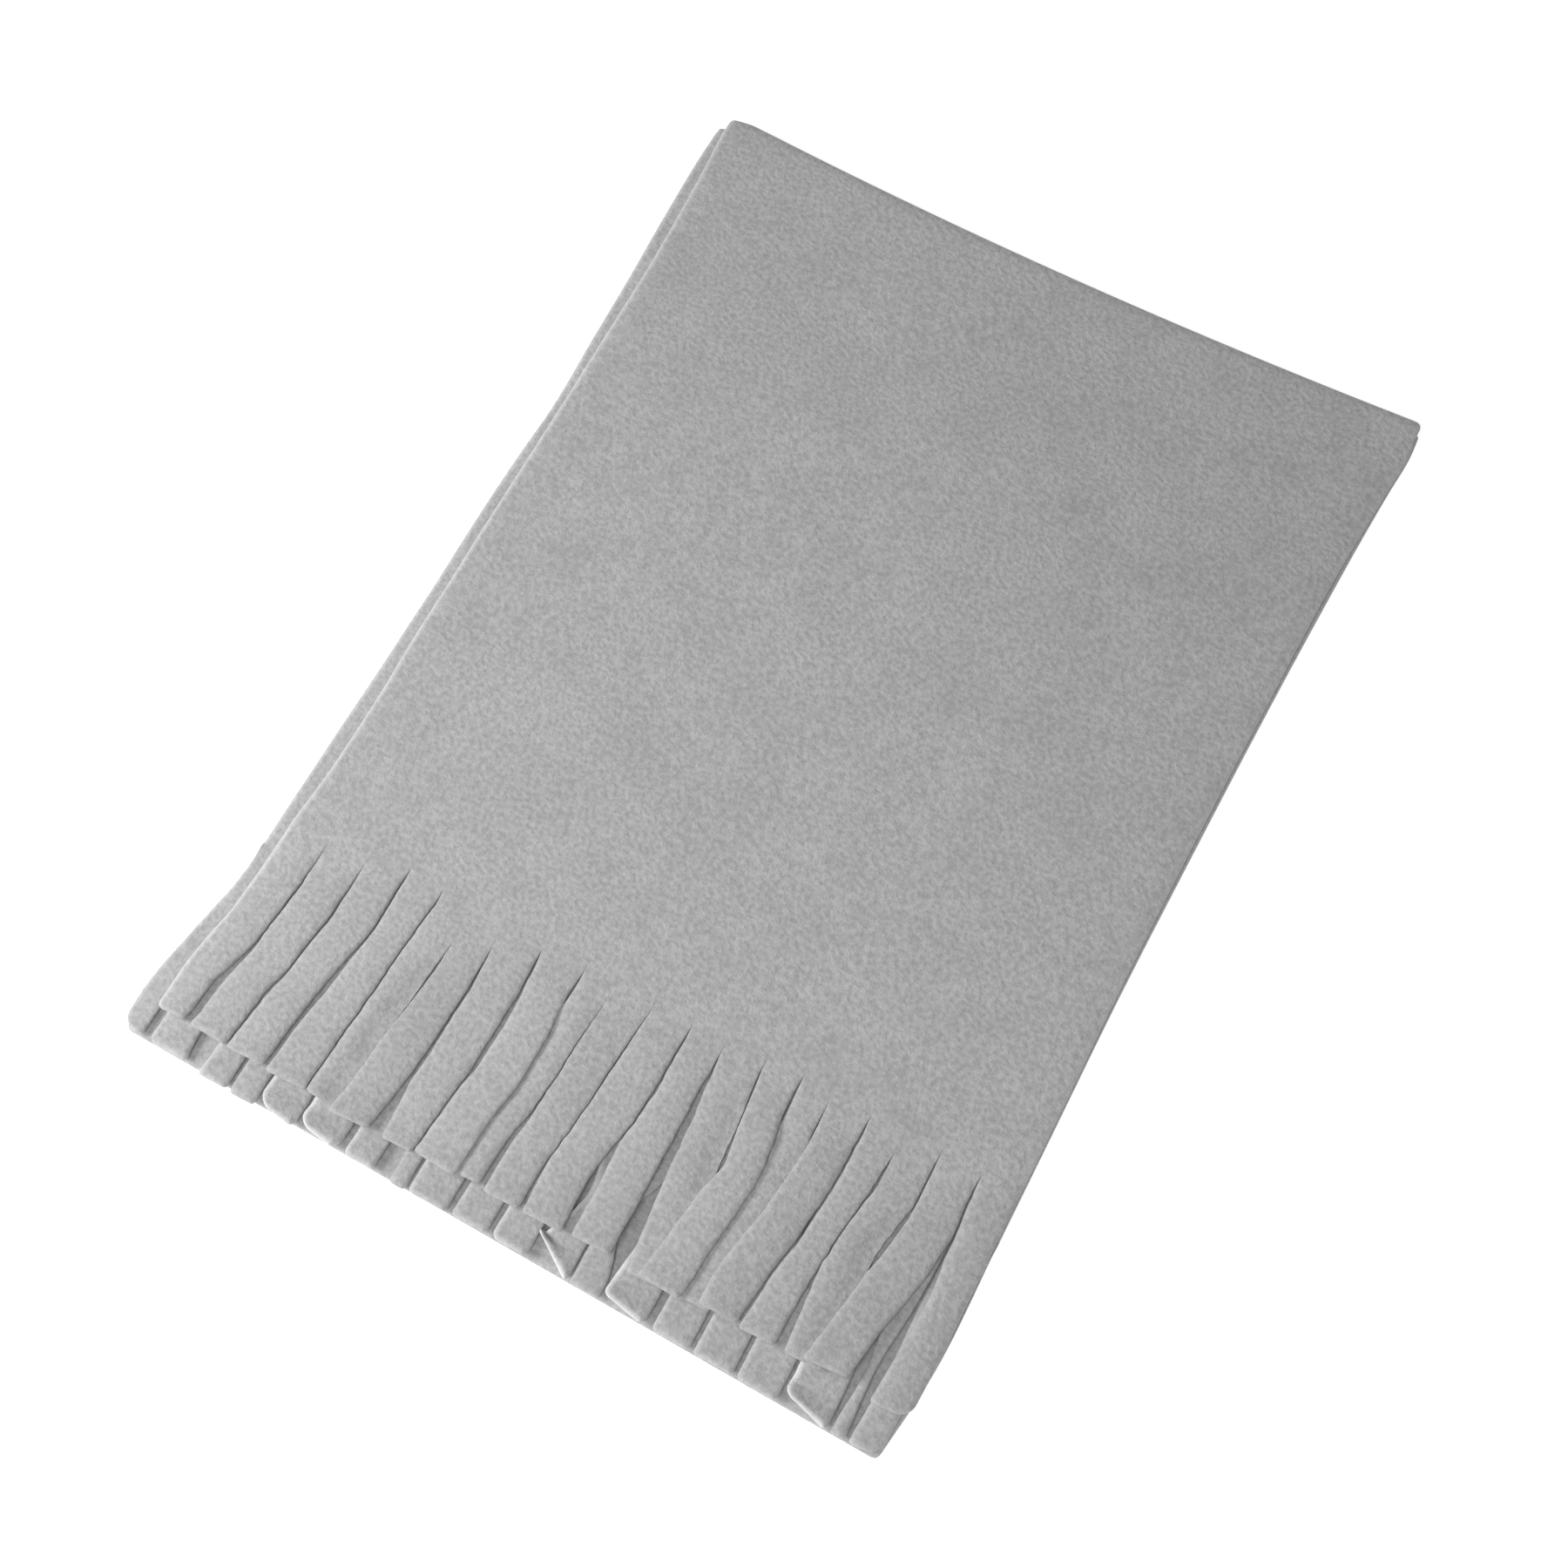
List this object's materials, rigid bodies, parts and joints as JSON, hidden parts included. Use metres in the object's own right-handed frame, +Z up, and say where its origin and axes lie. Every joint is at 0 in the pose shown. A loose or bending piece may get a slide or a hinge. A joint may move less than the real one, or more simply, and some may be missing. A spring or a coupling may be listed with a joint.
{
  "type": "folded throw blanket",
  "caption": "Narrow fleece throw with hand-cut fringed ends, folded flat into plies. The upper half opens about the back folds, and the strips of the top fringe lift.",
  "frame": {"origin": "centre of the folded throw's footprint, on the surface that it lies on", "axes": "+X across the throw, +Y from the fringed front towards the back folds, +Z up"},
  "size_m": [0.3069, 0.426, 0.0108],
  "materials": {
    "fleece": "matte brushed nap, light grey"
  },
  "bodies": {
    "lower_half": {"bottom_ply": "fleece", "third_ply": "fleece", "front_fold": "fleece", "back_fold_inner": "fleece", "back_fold_outer": "fleece"},
    "upper_half": {"top_ply": "fleece", "second_ply": "fleece", "second_strip_01": "fleece", "second_strip_02": "fleece", "second_strip_03": "fleece", "second_strip_04": "fleece", "second_strip_05": "fleece", "second_strip_06": "fleece", "second_strip_07": "fleece", "second_strip_08": "fleece", "second_strip_09": "fleece", "second_strip_10": "fleece", "second_strip_11": "fleece", "second_strip_12": "fleece", "second_strip_13": "fleece", "second_strip_14": "fleece", "second_strip_15": "fleece", "second_strip_16": "fleece", "second_strip_17": "fleece", "second_strip_18": "fleece", "second_strip_19": "fleece", "second_strip_20": "fleece"},
    "fringe_01": {"top_strip_01": "fleece"},
    "fringe_02": {"top_strip_02": "fleece"},
    "fringe_03": {"top_strip_03": "fleece"},
    "fringe_04": {"top_strip_04": "fleece"},
    "fringe_05_to_06": {"top_strip_05": "fleece", "top_strip_06": "fleece"},
    "fringe_07": {"top_strip_07": "fleece"},
    "fringe_08_to_09": {"top_strip_08": "fleece", "top_strip_09": "fleece"},
    "fringe_10": {"top_strip_10": "fleece"},
    "fringe_11": {"top_strip_11": "fleece"},
    "fringe_12": {"top_strip_12": "fleece"},
    "fringe_13_to_16": {"top_strip_13": "fleece", "top_strip_14": "fleece", "top_strip_15": "fleece", "top_strip_16": "fleece"},
    "fringe_17": {"top_strip_17": "fleece"},
    "fringe_18_to_19": {"top_strip_18": "fleece", "top_strip_19": "fleece"},
    "fringe_20": {"top_strip_20": "fleece"}
  },
  "joints": [
    {"name": "upper_half_unfolds", "type": "hinge", "parent": "lower_half", "child": "upper_half", "pos_m": [0, 0.2076, 0.0054], "axis": [-1, 0, 0], "range_deg": [0, 165], "deforming": ["back_fold_inner", "back_fold_outer"]},
    {"name": "fringe_01_lifts", "type": "hinge", "parent": "upper_half", "child": "fringe_01", "pos_m": [0, -0.1194, 0.0108], "axis": [-1, 0, 0], "range_deg": [0, 165]},
    {"name": "fringe_02_lifts", "type": "hinge", "parent": "upper_half", "child": "fringe_02", "pos_m": [0, -0.1194, 0.0108], "axis": [-1, 0, 0], "range_deg": [0, 165]},
    {"name": "fringe_03_lifts", "type": "hinge", "parent": "upper_half", "child": "fringe_03", "pos_m": [0, -0.1194, 0.0108], "axis": [-1, 0, 0], "range_deg": [0, 165]},
    {"name": "fringe_04_lifts", "type": "hinge", "parent": "upper_half", "child": "fringe_04", "pos_m": [0, -0.1194, 0.0108], "axis": [-1, 0, 0], "range_deg": [0, 165]},
    {"name": "fringe_05_to_06_lift", "type": "hinge", "parent": "upper_half", "child": "fringe_05_to_06", "pos_m": [0, -0.1194, 0.0108], "axis": [-1, 0, 0], "range_deg": [0, 165]},
    {"name": "fringe_07_lifts", "type": "hinge", "parent": "upper_half", "child": "fringe_07", "pos_m": [0, -0.1194, 0.0108], "axis": [-1, 0, 0], "range_deg": [0, 165]},
    {"name": "fringe_08_to_09_lift", "type": "hinge", "parent": "upper_half", "child": "fringe_08_to_09", "pos_m": [0, -0.1194, 0.0108], "axis": [-1, 0, 0], "range_deg": [0, 165]},
    {"name": "fringe_10_lifts", "type": "hinge", "parent": "upper_half", "child": "fringe_10", "pos_m": [0, -0.1194, 0.0108], "axis": [-1, 0, 0], "range_deg": [0, 165]},
    {"name": "fringe_11_lifts", "type": "hinge", "parent": "upper_half", "child": "fringe_11", "pos_m": [0, -0.1194, 0.0108], "axis": [-1, 0, 0], "range_deg": [0, 165]},
    {"name": "fringe_12_lifts", "type": "hinge", "parent": "upper_half", "child": "fringe_12", "pos_m": [0, -0.1194, 0.0108], "axis": [-1, 0, 0], "range_deg": [0, 165]},
    {"name": "fringe_13_to_16_lift", "type": "hinge", "parent": "upper_half", "child": "fringe_13_to_16", "pos_m": [0, -0.1194, 0.0108], "axis": [-1, 0, 0], "range_deg": [0, 165]},
    {"name": "fringe_17_lifts", "type": "hinge", "parent": "upper_half", "child": "fringe_17", "pos_m": [0, -0.1194, 0.0108], "axis": [-1, 0, 0], "range_deg": [0, 165]},
    {"name": "fringe_18_to_19_lift", "type": "hinge", "parent": "upper_half", "child": "fringe_18_to_19", "pos_m": [0, -0.1194, 0.0108], "axis": [-1, 0, 0], "range_deg": [0, 165]},
    {"name": "fringe_20_lifts", "type": "hinge", "parent": "upper_half", "child": "fringe_20", "pos_m": [0, -0.1194, 0.0108], "axis": [-1, 0, 0], "range_deg": [0, 165]}
  ]
}
